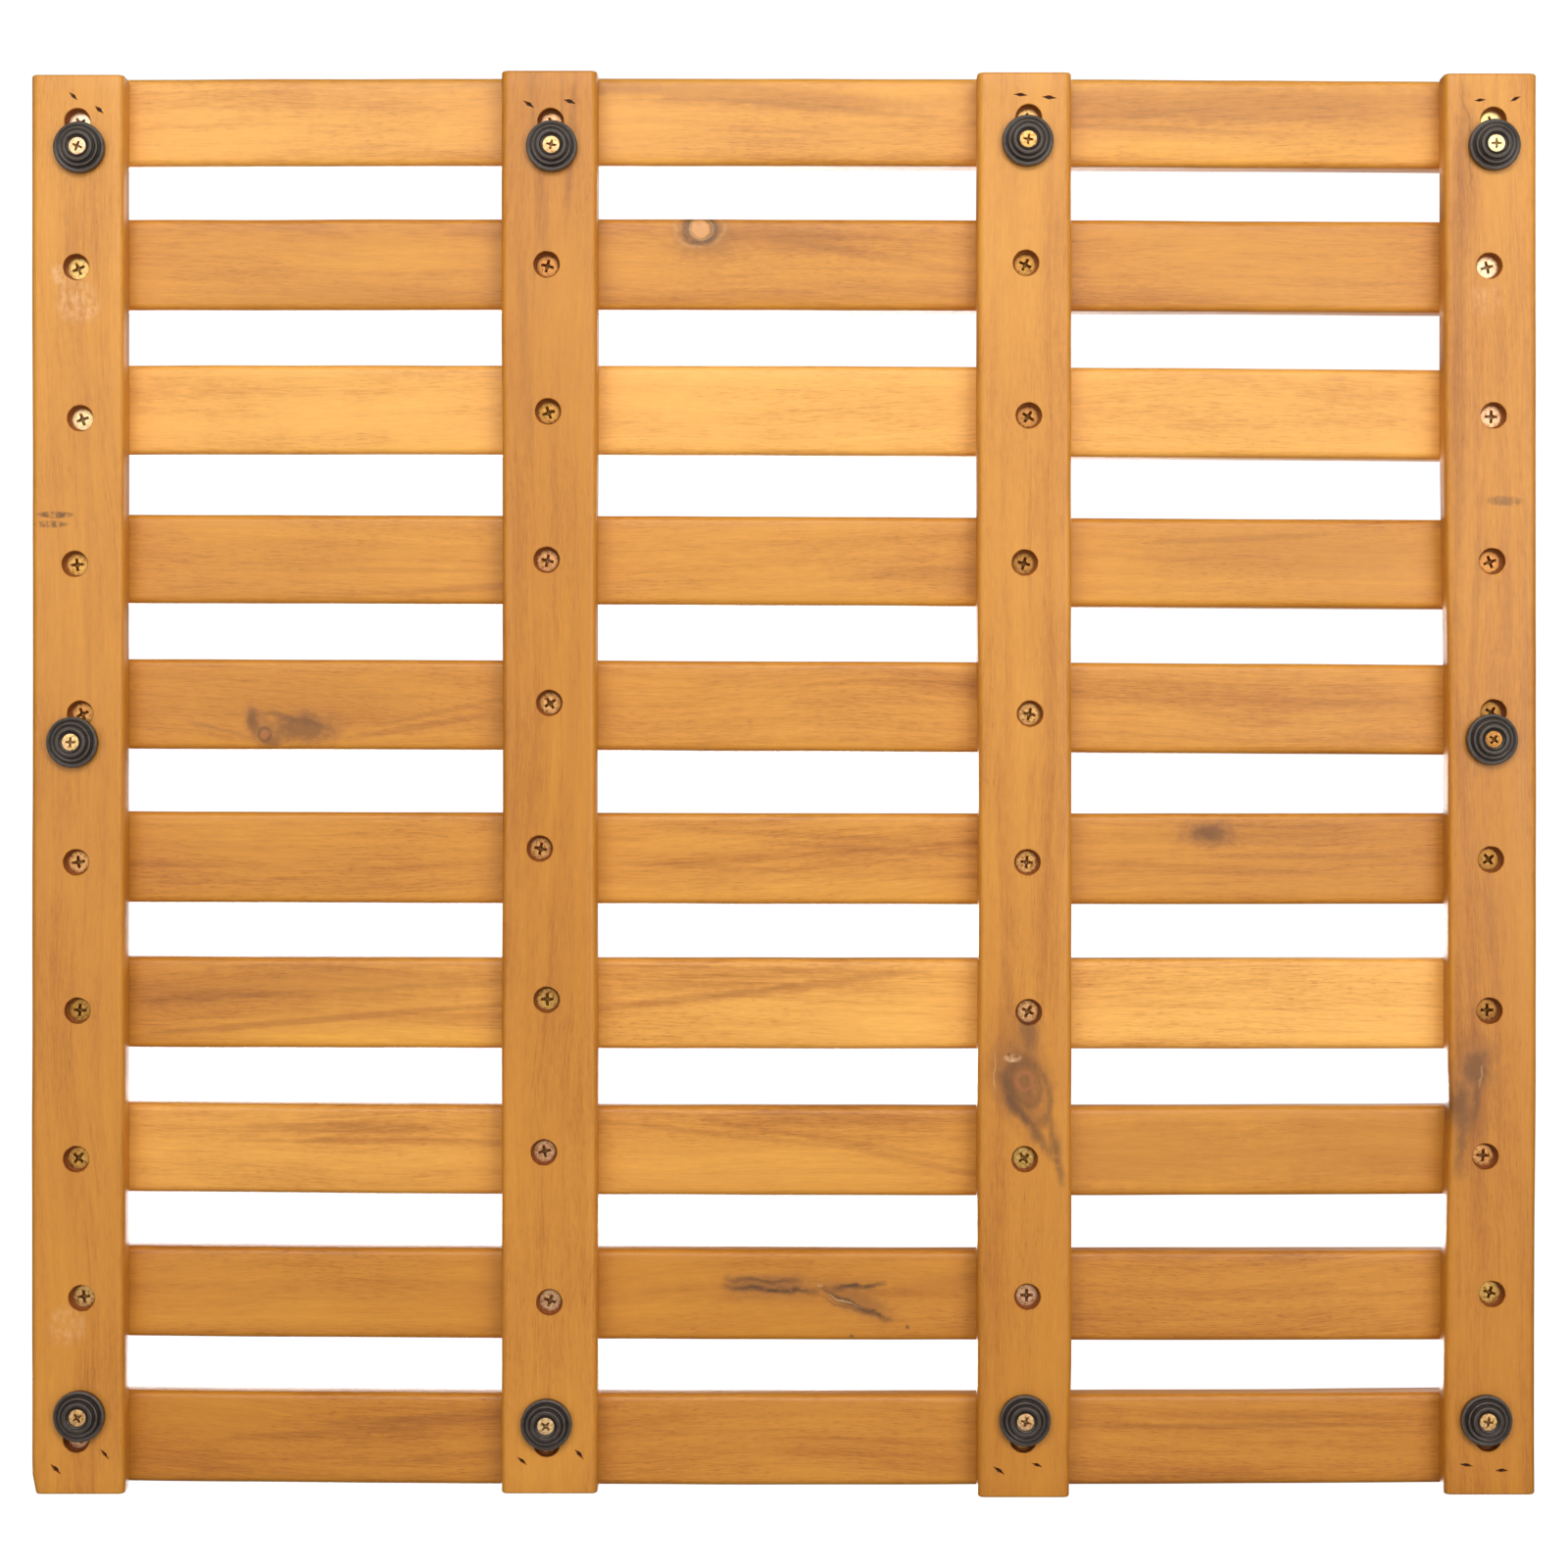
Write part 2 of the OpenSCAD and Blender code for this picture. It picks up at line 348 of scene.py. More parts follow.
def screw_hole(sink, length):
    """The hole of a slat screw: counterbore, cone seat and shank, the head's face at z = 0."""
    shank = SCREW_R + PLAY
    seat = SCREW_HEAD_R + PLAY
    cone = HEAD_RIM + SCREW_HEAD_R - SCREW_R
    mouth = 0.25 * MM
    profile = [
        (0, -sink - 1 * MM),
        (COUNTERBORE_R + mouth, -sink - 1 * MM),
        (COUNTERBORE_R + mouth, -sink - 0.01 * MM),
        (COUNTERBORE_R, -sink + mouth),
        (COUNTERBORE_R - 0.05 * MM, 0),
        (seat, 0),
        (seat, HEAD_RIM - PLAY),
        (shank, cone - PLAY),
        (shank, length + PLAY),
        (0, length + PLAY),
    ]
    return lathe(profile, 40, wobble=0.12 * MM, seed=random.random() * 50)


def shank_hole(radius, depth):
    return lathe([(0, 0), (radius, 0), (radius, depth), (0, depth)], 20)


def torn_pit(turn, reach, width):
    """The torn mark of a sunk brad: a slit along the tear that deepens to its middle, at z = 0."""
    right = [(0.2, 0.9), (0.6, 0.35), (1, 0), (0.5, -0.5), (0.1, -0.9)]
    plan = [(-1, 0), (-0.5, 0.5), (-0.15, 1.0), *right, (-0.4, -0.5)]
    levels = []
    for long, wide, z in ((1, 1, -0.6 * MM), (0.98, 0.98, 0.02 * MM), (0.42, 0.6, 1.3 * MM)):
        levels.append([(reach * x * long, width * y * wide, z) for x, y in plan])
    return placed(stacked(levels), (0, 0, 0), turn)


# ---------------- fasteners and feet


def cross_recess(head_r):
    """Closed cutters for a tapered cross recess that opens at z = 0 and deepens towards +Z."""
    wing = [(-0.60, -0.135), (0.60, -0.135), (0.60, 0.135), (-0.60, 0.135)]
    levels = []
    for long, wide, z in ((1.06, 1.1, -0.2), (1.0, 1.0, 0.0), (0.42, 0.62, 0.46)):
        levels.append([(head_r * x * long, head_r * y * wide, head_r * z) for x, y in wing])
    core = [(0, -0.2), (0.30, -0.2), (0.27, 0), (0.14, 0.5), (0, 0.6)]
    cutters = [placed(stacked(levels), (0, 0, 0), turn) for turn in (0, math.pi / 2)]
    return cutters + [lathe([(r * head_r, z * head_r) for r, z in core], 16)]


def screw_mesh(name, shank_r, head_r, length, pitch):
    """Countersunk screw with a softened rim, a cross recess and a spiral thread, its face at z = 0."""
    cone_end = HEAD_RIM + head_r - shank_r
    soft = 0.12 * MM
    head = [
        (0, 0.02 * MM),
        (0.35 * head_r, 0.01 * MM),
        (head_r - 2 * soft, 0),
        (head_r - 0.6 * soft, 0.3 * soft),
        (head_r, soft),
        (head_r, HEAD_RIM),
        (shank_r, cone_end),
    ]
    point = 2.6 * shank_r
    core_r = 0.72 * shank_r
    steps = 32
    rows = int((length - cone_end) / (pitch / 5))
    heights = [cone_end + (length - cone_end) * k / rows for k in range(1, rows)]
    verts, faces = lathe(head + [(shank_r * 0.98, z) for z in heights] + [(0, length)], steps)
    first = 1 + (len(head) - 1) * steps
    start_thread = cone_end + 1.2 * MM
    for i, (x, y, z) in enumerate(verts[first:], first):
        if z >= length or z < start_thread:
            continue
        a = math.atan2(y, x)
        phase = ((z / pitch) - a / (2 * math.pi)) % 1.0
        ridge = max(0.0, 1 - abs(phase - 0.5) * 3.2)
        taper = min(1.0, (length - z) / point)
        r = (core_r + (shank_r - core_r) * ridge) * taper
        verts[i] = (r * math.cos(a), r * math.sin(a), z)
    obj = new_object(name, mesh_from(name, verts, faces))
    face_outwards(obj.data)
    for cutter in cross_recess(head_r):
        cut(obj, cutter)
    verts = [tuple(v.co) for v in obj.data.vertices]
    faces = [tuple(p.vertices) for p in obj.data.polygons]
    bpy.data.objects.remove(obj)
    return verts, faces


def arc(cx, cz, r, start, end, steps=5):
    """Points of an arc in the profile plane, from start to end degrees."""
    angles = [math.radians(start + (end - start) * i / steps) for i in range(steps + 1)]
    return [(cx + r * math.cos(a), cz + r * math.sin(a)) for a in angles]


def foot_profile(height, outer_r):
    """Half section of a foot, from the screw's seat at its tip out over three tiers to its base.

    Each point is (radius, height, wear), with wear 1 on the rims that stand proud, which are painted
    paler: partly rubbed wear, partly a painted highlight.
    """
    hole = (FOOT_SCREW_HEAD_R + PLAY) / MM
    shank = (FOOT_SCREW_R + PLAY) / MM
    r3, h = outer_r / MM, height / MM

    def rim(cx, cz, r, start=-90, end=0):
        points = arc(cx, cz, r, start, end, 7)
        return [(x, z, 0.25 + 0.75 * math.sin(math.pi * i / 7) ** 2) for i, (x, z) in enumerate(points)]

    def flat(points):
        return [(x, z, 0.0) for x, z in points]

    points = flat([(hole, 1.15), (hole, 0.92)])
    points += flat(arc(hole + 0.25, 0.86, 0.18, 150, 215, 3)[1:])
    points += flat([(3.8, 0.62), (4.25, 0.30)])
    points += rim(4.62, 0.35, 0.35, 195, 270)[1:]
    points += rim(5.05, 0.55, 0.55)
    points += flat([(5.62, 1.15)] + arc(5.96, 1.30, 0.34, 180, 60, 5))
    points += rim(6.72, 1.85, 0.58)
    points += flat([(7.32, 2.55)] + arc(7.66, 2.72, 0.34, 180, 60, 5))
    points += rim(r3 - 0.8, 3.5, 0.8)
    points += flat([(r3, h - 0.35), (r3 - 0.2, h - 0.02)])
    points += flat([(shank, h - 0.02), (shank, hole - shank + 1.2)])
    return [(r * MM, z * MM, w) for r, z, w in points]


def foot_mesh(name, place, seed):
    """Rubber foot with a through hole: its profile is a closed loop, turned about the screw's axis."""
    lo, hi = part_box(name)
    profile = foot_profile(hi.z - lo.z, (hi.x - lo.x) / 2)
    steps, n = 96, len(profile)
    verts, faces = [], []
    for i in range(steps):
        a = 2 * math.pi * i / steps
        for r, z, _ in profile:
            swell = 1 + 0.004 * noise.noise(Vector((2 * math.cos(a), 2 * math.sin(a), seed + z / MM)))
            rr = r * swell
            verts.append((place.x + rr * math.cos(a), place.y + rr * math.sin(a), lo.z + z))
    for i in range(steps):
        j = (i + 1) % steps
        for k in range(n):
            m = (k + 1) % n
            faces.append((i * n + k, j * n + k, j * n + m, i * n + m))
    mesh = mesh_from(name + "_rubber", verts, faces)
    store(mesh, "rim_wear_and_highlight", np.tile([w for _, _, w in profile], steps))
    face_outwards(mesh)
    smooth(mesh, 40)
    return new_object(name + "_rubber", mesh)


# ---------------- materials


def linear(red, green, blue):
    """Linear colour from 0 to 255 display values."""
    out = []
    for value in (red, green, blue):
        c = value / 255
        out.append(c / 12.92 if c <= 0.04045 else ((c + 0.055) / 1.055) ** 2.4)
    return (*out, 1.0)


def tone(level):
    """Albedo of the oiled wood: the darker it is, the redder and more saturated."""
    over = level - 0.57
    return (level, level * (0.375 + 0.32 * over), level * (0.028 + 0.20 * over), 1.0)


class Nodes:
    """Short calls that add one shader node each to a tree and return its main output."""

    def __init__(self, owner):
        owner.use_nodes = True
        self.owner = owner
        self.tree = owner.node_tree
        self.tree.nodes.clear()

    def add(self, kind, inputs=(), **settings):
        node = self.tree.nodes.new("ShaderNode" + kind)
        for key, value in settings.items():
            setattr(node, key, value)
        for key, value in dict(inputs).items():
            if isinstance(value, bpy.types.NodeSocket):
                self.tree.links.new(value, node.inputs[key])
            else:
                node.inputs[key].default_value = value
        return node

    def math(self, operation, *values, clamp=False):
        return self.add("Math", enumerate(values), operation=operation, use_clamp=clamp).outputs[0]

    def plus(self, a, b, **clamp):
        return self.math("ADD", a, b, **clamp)

    def minus(self, a, b):
        return self.math("SUBTRACT", a, b)

    def times(self, a, b, **clamp):
        return self.math("MULTIPLY", a, b, **clamp)

    def vector(self, operation, a, b):
        return self.add("VectorMath", {0: a, 1: b}, operation=operation).outputs["Vector"]

    def length(self, a):
        return self.add("VectorMath", {0: a}, operation="LENGTH").outputs["Value"]

    def mix(self, factor, a, b, blend="MIX"):
        given = {0: factor, 6: a, 7: b}
        return self.add("Mix", given, data_type="RGBA", blend_type=blend).outputs[2]

    def tinted(self, colour, tint):
        return self.mix(1.0, colour, tint, "MULTIPLY")

    def noise(self, vector, scales, detail=3.0, roughness=0.5):
        given = {"Vector": self.vector("MULTIPLY", vector, scales), "Scale": 1.0}
        return self.add("TexNoise", {**given, "Detail": detail, "Roughness": roughness}).outputs[0]

    def span(self, value, low, high, to_low=0.0, to_high=1.0, kind="LINEAR"):
        given = {"Value": value, "From Min": low, "From Max": high, "To Min": to_low, "To Max": to_high}
        return self.add("MapRange", given, interpolation_type=kind, clamp=True).outputs[0]

    def soft(self, value, low, high):
        return self.span(value, low, high, kind="SMOOTHSTEP")

    def ramp(self, factor, *stops):
        node = self.add("ValToRGB", {"Fac": factor})
        elements = node.color_ramp.elements
        while len(elements) < len(stops):
            elements.new(0.5)
        for element, (position, colour) in zip(elements, stops):
            element.position = position
            element.color = colour
        return node.outputs[0]

    def xyz(self, x, y, z):
        return self.add("CombineXYZ", {0: x, 1: y, 2: z}).outputs[0]

    def split(self, vector):
        return self.add("SeparateXYZ", {0: vector}).outputs

    def stored(self, name, output="Fac"):
        node = self.add("Attribute", attribute_type="GEOMETRY", attribute_name=name)
        return node.outputs[output]

    def bump(self, height, strength, distance):
        given = {"Strength": strength, "Distance": distance, "Height": height}
        return self.add("Bump", given).outputs[0]

    def finish(self, **inputs):
        given = {key.replace("_", " "): value for key, value in inputs.items()}
        shader = self.add("BsdfPrincipled", given).outputs[0]
        self.add("OutputMaterial", {"Surface": shader})
        return self.owner


def material_nodes(name):
    return Nodes(bpy.data.materials.new(name))


# What every mark of a board is drawn with: the place in the board and two noises
Field = namedtuple("Field", "along across warp mottle")


def local(g, along, across, mark, scale=1.0):
    """Coordinates round a mark, as a vector scaled so that its edge is at length 1."""
    du = g.minus(along, mark["at"][0])
    dv = g.minus(across, mark["at"][1])
    turn = math.radians(mark.get("turn", 0))
    c, s = math.cos(turn), math.sin(turn)
    ru = g.plus(g.times(du, c), g.times(dv, s))
    rv = g.minus(g.times(dv, c), g.times(du, s))
    long, wide = mark["size"]
    return g.xyz(g.math("DIVIDE", ru, long * scale), g.math("DIVIDE", rv, wide * scale), 0.0)


SMOKE = linear(168, 106, 42)
GREY_BROWN = linear(110, 68, 26)
DARK_RING = linear(108, 74, 36)
RED_HEART = linear(172, 100, 52)
PALE_HEART = linear(222, 160, 98)
PALE_LINE = linear(232, 184, 120)
BARK = linear(74, 44, 16)
CHALK = linear(240, 192, 144)
PLAIN_FIGURE = {"streaks": 0.42, "bands": 0.66, "fibres": 0.6, "rings": 0.06, "pores": 0.5}
RAIL_FIGURE = {"streaks": 0.28, "bands": 0.5, "fibres": 0.5, "pores": 0.35}


def distance(g, field, mark, bend, ragged):
    """Distance from a mark's middle, 1 at its edge, bent by slow noise and ragged by fine noise."""
    bending = g.vector("MULTIPLY", field.warp, (bend, bend, 0))
    moved = g.vector("ADD", local(g, field.along, field.across, mark), bending)
    return g.plus(g.length(moved), g.times(g.minus(field.mottle, 0.5), ragged))


def draw_knot(g, colour, field, mark):
    """Adds a knot: a soft halo, a broken rim and a heart that is paler or darker than the wood."""
    strength = mark["strength"]
    far = distance(g, field, mark, 0.5, 0.45)
    halo = g.times(g.soft(far, mark.get("halo", 2.0), 1.0), 0.6 * strength)
    colour = g.mix(halo, colour, SMOKE)
    rim = g.soft(g.math("ABSOLUTE", g.minus(far, 0.95)), 0.42, 0.08)
    rim = g.times(rim, g.span(field.mottle, 0.30, 0.55, 0.35, 1.0))
    colour = g.mix(g.times(rim, 0.9 * strength), colour, mark.get("rim", DARK_RING))
    heart = g.soft(far, 0.72, 0.50)
    return g.mix(g.times(heart, 0.9 * strength), colour, mark["heart"])


def draw_ring(g, colour, field, mark):
    """Adds one whorl: a thin dark or pale ring whose line comes and goes."""
    far = distance(g, field, mark, 0.35, 0.15)
    line = g.soft(g.math("ABSOLUTE", g.minus(far, 1.0)), mark.get("width", 0.12), 0.0)
    line = g.times(line, g.span(field.mottle, 0.32, 0.52, 0.25, 1.0))
    return g.mix(g.times(line, mark["strength"]), colour, mark.get("colour", GREY_BROWN))


def draw_shade(g, colour, field, mark):
    """Darkens a soft patch of a board, or lightens it where the strength is below 0."""
    strength = mark["strength"]
    far = distance(g, field, mark, 0.6, 0.35)
    soft = g.soft(far, 1.2, 0.4)
    cast = (0.74, 0.67, 0.64, 1) if strength > 0 else (1.14, 1.20, 1.10, 1)
    return g.mix(g.times(soft, abs(strength)), colour, g.tinted(colour, cast))


def draw_stain(g, colour, field, mark):
    """Adds a smoky grey-brown stain with a diffuse edge."""
    strength = mark["strength"]
    far = distance(g, field, mark, 0.8, 0.8)
    colour = g.mix(g.times(g.soft(far, 1.4, 0.5), 0.75 * strength), colour, SMOKE)
    core = g.soft(far, 0.95, 0.2)
    return g.mix(g.times(core, 0.75 * strength), colour, GREY_BROWN)


def draw_smudge(g, colour, field, mark):
    """Adds a patchy smudge: chalky white rubbing or a dark scuff."""
    far = distance(g, field, mark, 0.7, 0.5)
    low, high = mark["patches"]
    patchy = g.times(g.soft(far, 1.15, 0.6), g.soft(field.mottle, low, high))
    return g.mix(g.times(patchy, mark["strength"]), colour, mark["colour"])


def draw_vein(g, colour, field, mark):
    """Adds a line between two points, with a smoky halo: a crack, or a dark or pale vein."""
    (u0, v0), (u1, v1) = mark["from"], mark["to"]
    size = math.hypot(u1 - u0, v1 - v0)
    cu, cv = (u1 - u0) / size, (v1 - v0) / size
    wx, wy, _ = g.split(field.warp)
    du = g.minus(field.along, u0)
    dv = g.minus(field.across, v0)
    on = g.plus(g.times(du, cu), g.times(dv, cv))
    off = g.minus(g.times(dv, cu), g.times(du, cv))
    off = g.plus(off, g.times(wx, 5 * MM))
    off = g.plus(off, g.times(g.minus(field.mottle, 0.5), mark["ragged"]))
    off = g.math("ABSOLUTE", off)
    share = g.plus(g.math("DIVIDE", on, size), g.times(wy, 0.15))
    bell = g.times(g.times(share, g.minus(1.0, share)), 4.0, clamp=True)
    bell = g.math("POWER", bell, 0.6)
    line = g.times(bell, g.soft(off, mark["width"], 0.0))
    line = g.times(line, g.span(field.mottle, 0.28, 0.5, 0.4, 1.0))
    halo = g.times(bell, g.soft(off, 3.0 * mark["width"], 0.0))
    if mark["halo"] > 0:
        colour = g.mix(g.times(halo, mark["halo"]), colour, SMOKE)
    return g.mix(g.times(line, mark["strength"]), colour, mark["colour"])


def bent_across(g, along, across, moved, slant, marks):
    """The place across a board, bent along its fibres, which lean, wander and flow round knots."""
    slow = g.noise(moved, (7, 22, 22), detail=1)
    bent = g.plus(across, g.times(g.minus(slow, 0.5), 14 * MM))
    bent = g.plus(bent, g.times(along, slant))
    for mark in marks:
        if mark["draw"] is draw_knot:
            near = g.length(local(g, along, across, mark, 1.5))
            push = g.minus(across, mark["at"][1])
            push = g.math("DIVIDE", push, g.plus(g.math("POWER", near, 2.0), 0.3))
            bent = g.minus(bent, g.times(push, 0.4))
    return bent


def wood(name, seed, look, painted_shade_bore=False):
    """Oiled orange-brown hardwood that follows a board's own grain coordinates.

    The look holds the lightness at the board's +, middle and - ends, how strong the streaks,
    bands, fibres, rings and pores of its figure are, and its marks.
    """
    figure = {**PLAIN_FIGURE, **look["figure"]}
    slant = 0.02 * math.sin(2.3 * seed)
    g = material_nodes(name)
    grain = g.stored("grain", "Vector")
    along, across, up = g.split(grain)
    moved = g.vector("ADD", grain, (0.613 * seed, 0.171 * seed, 0.097 * seed))
    bent = bent_across(g, along, across, moved, slant, look["marks"])
    fibres = g.vector("ADD", g.xyz(along, bent, up), (0.37 * seed, 0.53 * seed, 0.19 * seed))

    band = g.noise(fibres, (4, 75, 75), detail=2)
    streak = g.noise(fibres, (20, 430, 430), roughness=0.6)
    fibre = g.noise(fibres, (110, 1500, 1500), roughness=0.6)
    dash = g.noise(fibres, (230, 2500, 2500), detail=1)
    cloud = g.noise(moved, (14, 42, 42), roughness=0.55)
    mottle = g.noise(moved, (300, 420, 420), roughness=0.6)
    warp = g.add("TexNoise", {"Vector": moved, "Scale": 110.0, "Detail": 2.0}).outputs["Color"]
    warp = g.vector("SUBTRACT", warp, (0.5, 0.5, 0.5))
    pores = g.times(g.span(dash, 0.58, 0.70), g.span(cloud, 0.62, 0.42))

    reach = g.math("SQRT", g.plus(g.math("POWER", bent, 2.0), 40e-6))
    phase = g.plus(g.math("DIVIDE", reach, 5 * MM), g.times(streak, 1.6))
    ring = g.span(g.math("SINE", g.times(phase, 2 * math.pi)), -1.0, 1.0)
    value = 0.5
    for source, weight in (
        (ring, figure["rings"]),
        (band, figure["bands"]),
        (streak, figure["streaks"]),
        (cloud, 0.5),
        (mottle, 0.16),
        (fibre, figure["fibres"]),
    ):
        value = g.plus(g.times(g.minus(source, 0.5), weight), value)
    shading = g.ramp(
        value,
        (0.0, (0.52, 0.38, 0.27, 1)),
        (0.30, (0.80, 0.725, 0.64, 1)),
        (0.50, (0.98, 0.98, 0.98, 1)),
        (1.0, (1, 1, 1, 1)),
    )
    ends = zip((0.0, 0.5, 1.0), (tone(level) for level in look["levels"]))
    colour = g.tinted(g.ramp(g.span(along, 0.23, -0.23), *ends), shading)
    lifted = g.span(value, 0.50, 0.95)
    colour = g.mix(lifted, colour, g.tinted(colour, (1.20, 1.32, 1.38, 1)))

    field = Field(along, across, warp, mottle)
    for mark in look["marks"]:
        colour = mark["draw"](g, colour, field, mark)
    pitted = g.tinted(colour, (0.60, 0.44, 0.30, 1))
    colour = g.mix(g.times(pores, figure["pores"]), colour, pitted)
    rough = (0.38, 0.48)
    # Painted shade: the walls of the holes and torn pits are darkened to stand for the shade in them,
    # and made rough like drilled wood.
    if painted_shade_bore:
        colour = g.tinted(colour, (0.54, 0.36, 0.25, 1))
        rough = (0.7, 0.85)
    height = g.times(g.minus(g.plus(fibre, streak), pores), 0.5)
    return g.finish(
        Base_Color=colour,
        Roughness=g.span(streak, 0.25, 0.75, *rough),
        Normal=g.bump(height, 0.3, 0.1 * MM),
    )


def even(scale):
    """The same noise scale in all three directions."""
    return (scale, scale, scale)


def rubber(name):
    """Moulded black rubber with a little dust, its tier rims paler: partly rubbed wear, partly a
    painted highlight.
    """
    g = material_nodes(name)
    where = g.add("TexCoord").outputs["Object"]
    fine = g.noise(where, even(2600))
    dust = g.noise(where, even(420), detail=4, roughness=0.65)
    colour = g.mix(g.span(dust, 0.4, 0.8), linear(24, 18, 14), linear(42, 34, 28))
    # Painted highlight: the rims of the tiers are made paler, partly as rubbed wear and partly for the
    # light they catch.
    rubbed = g.times(g.stored("rim_wear_and_highlight"), g.span(dust, 0.25, 0.6, 0.45, 1.0))
    height = g.plus(g.times(fine, 0.4), g.times(dust, 0.6))
    return g.finish(
        Base_Color=g.mix(rubbed, colour, linear(98, 88, 82)),
        Roughness=g.span(dust, 0.3, 0.7, 0.27, 0.42),
        Specular_Tint=(1.0, 0.90, 0.82, 1),
        Normal=g.bump(height, 0.2, 0.06 * MM),
    )


def zinc(name):
    """Yellow zinc plate: each screw dull, or bright with a painted glint, brassier or pinker, with
    spots of grime and darker down in its cross.
    """
    g = material_nodes(name)
    where = g.add("TexCoord").outputs["Object"]
    plating_and_glint = g.stored("plating_and_glint")
    bloom = g.noise(where, even(330))
    spots = g.noise(where, even(1000), roughness=0.7)
    mood = g.plus(g.stored("tint"), g.times(g.minus(bloom, 0.5), 0.9))
    dull = g.ramp(
        mood,
        (0.0, linear(208, 158, 76)),
        (0.5, linear(218, 154, 82)),
        (1.0, linear(212, 146, 84)),
    )
    # The pale colour is partly bright plating and partly a painted glint: it stands for the key light
    # reflected by the screws nearest the +Y ends.
    bright = g.ramp(
        mood,
        (0.0, linear(250, 224, 140)),
        (0.5, linear(250, 222, 172)),
        (1.0, linear(250, 216, 190)),
    )
    patchy = g.plus(plating_and_glint, g.times(g.minus(spots, 0.5), 1.6), clamp=True)
    tarnish = g.span(plating_and_glint, -1.0, 0.0, 0.35, 1.0)
    colour = g.mix(patchy, g.tinted(dull, g.xyz(tarnish, tarnish, tarnish)), bright)
    grime = g.times(g.span(spots, 0.50, 0.36), g.span(plating_and_glint, 0.0, 1.0, 0.8, 0.25))
    colour = g.mix(grime, colour, linear(112, 72, 38))
    return g.finish(
        # Darker brown down in each cross recess.
        Base_Color=g.mix(g.times(g.stored("deep"), 0.7), colour, linear(100, 70, 34)),
        Metallic=1.0,
        Roughness=g.span(spots, 0.3, 0.7, 0.34, 0.55),
        Normal=g.bump(spots, 0.35, 0.05 * MM),
    )


def dull_steel(name):
    """Grey steel of the brads, spotted with brown."""
    g = material_nodes(name)
    spots = g.noise(g.add("TexCoord").outputs["Object"], even(1800))
    colour = g.ramp(spots, (0.35, linear(56, 50, 46)), (0.7, linear(44, 32, 24)))
    bump = g.bump(spots, 0.2, 0.04 * MM)
    return g.finish(Base_Color=colour, Metallic=0.8, Roughness=0.55, Normal=bump)


# ---------------- the mat

SLATS = [f"slat_{i}" for i in range(1, 11)]
RAILS = [f"rail_{i}" for i in range(1, 5)]
FEET = [f"foot_{i}" for i in range(1, 11)]


def mark(draw, along, across, long, wide, strength, **more):
    """A mark of a board: its place from the board's middle and its size, in millimetres."""
    at, size = (along * MM, across * MM), (long * MM, wide * MM)
    return dict(draw=draw, at=at, size=size, strength=strength, **more)


knot = partial(mark, draw_knot)
ring = partial(mark, draw_ring)
shade = partial(mark, draw_shade)
stain = partial(mark, draw_stain)
chalk = partial(mark, draw_smudge, patches=(0.30, 0.80), colour=CHALK)
scuff = partial(mark, draw_smudge, patches=(0.34, 0.58), colour=GREY_BROWN)


def vein(start, end, width, strength, colour=GREY_BROWN, halo=0.0, ragged=2.0):
    """A line between two places of a board, in millimetres from its middle."""
    ends = {"from": [v * MM for v in start], "to": [v * MM for v in end]}
    size = {"width": width * MM, "ragged": ragged * MM}
    return dict(draw=draw_vein, strength=strength, colour=colour, halo=halo, **ends, **size)


def look(levels, *marks, **figure):
    """A board's lightness at its +, middle and - ends, its marks and what its figure changes."""
    return dict(levels=levels, marks=marks, figure=figure)


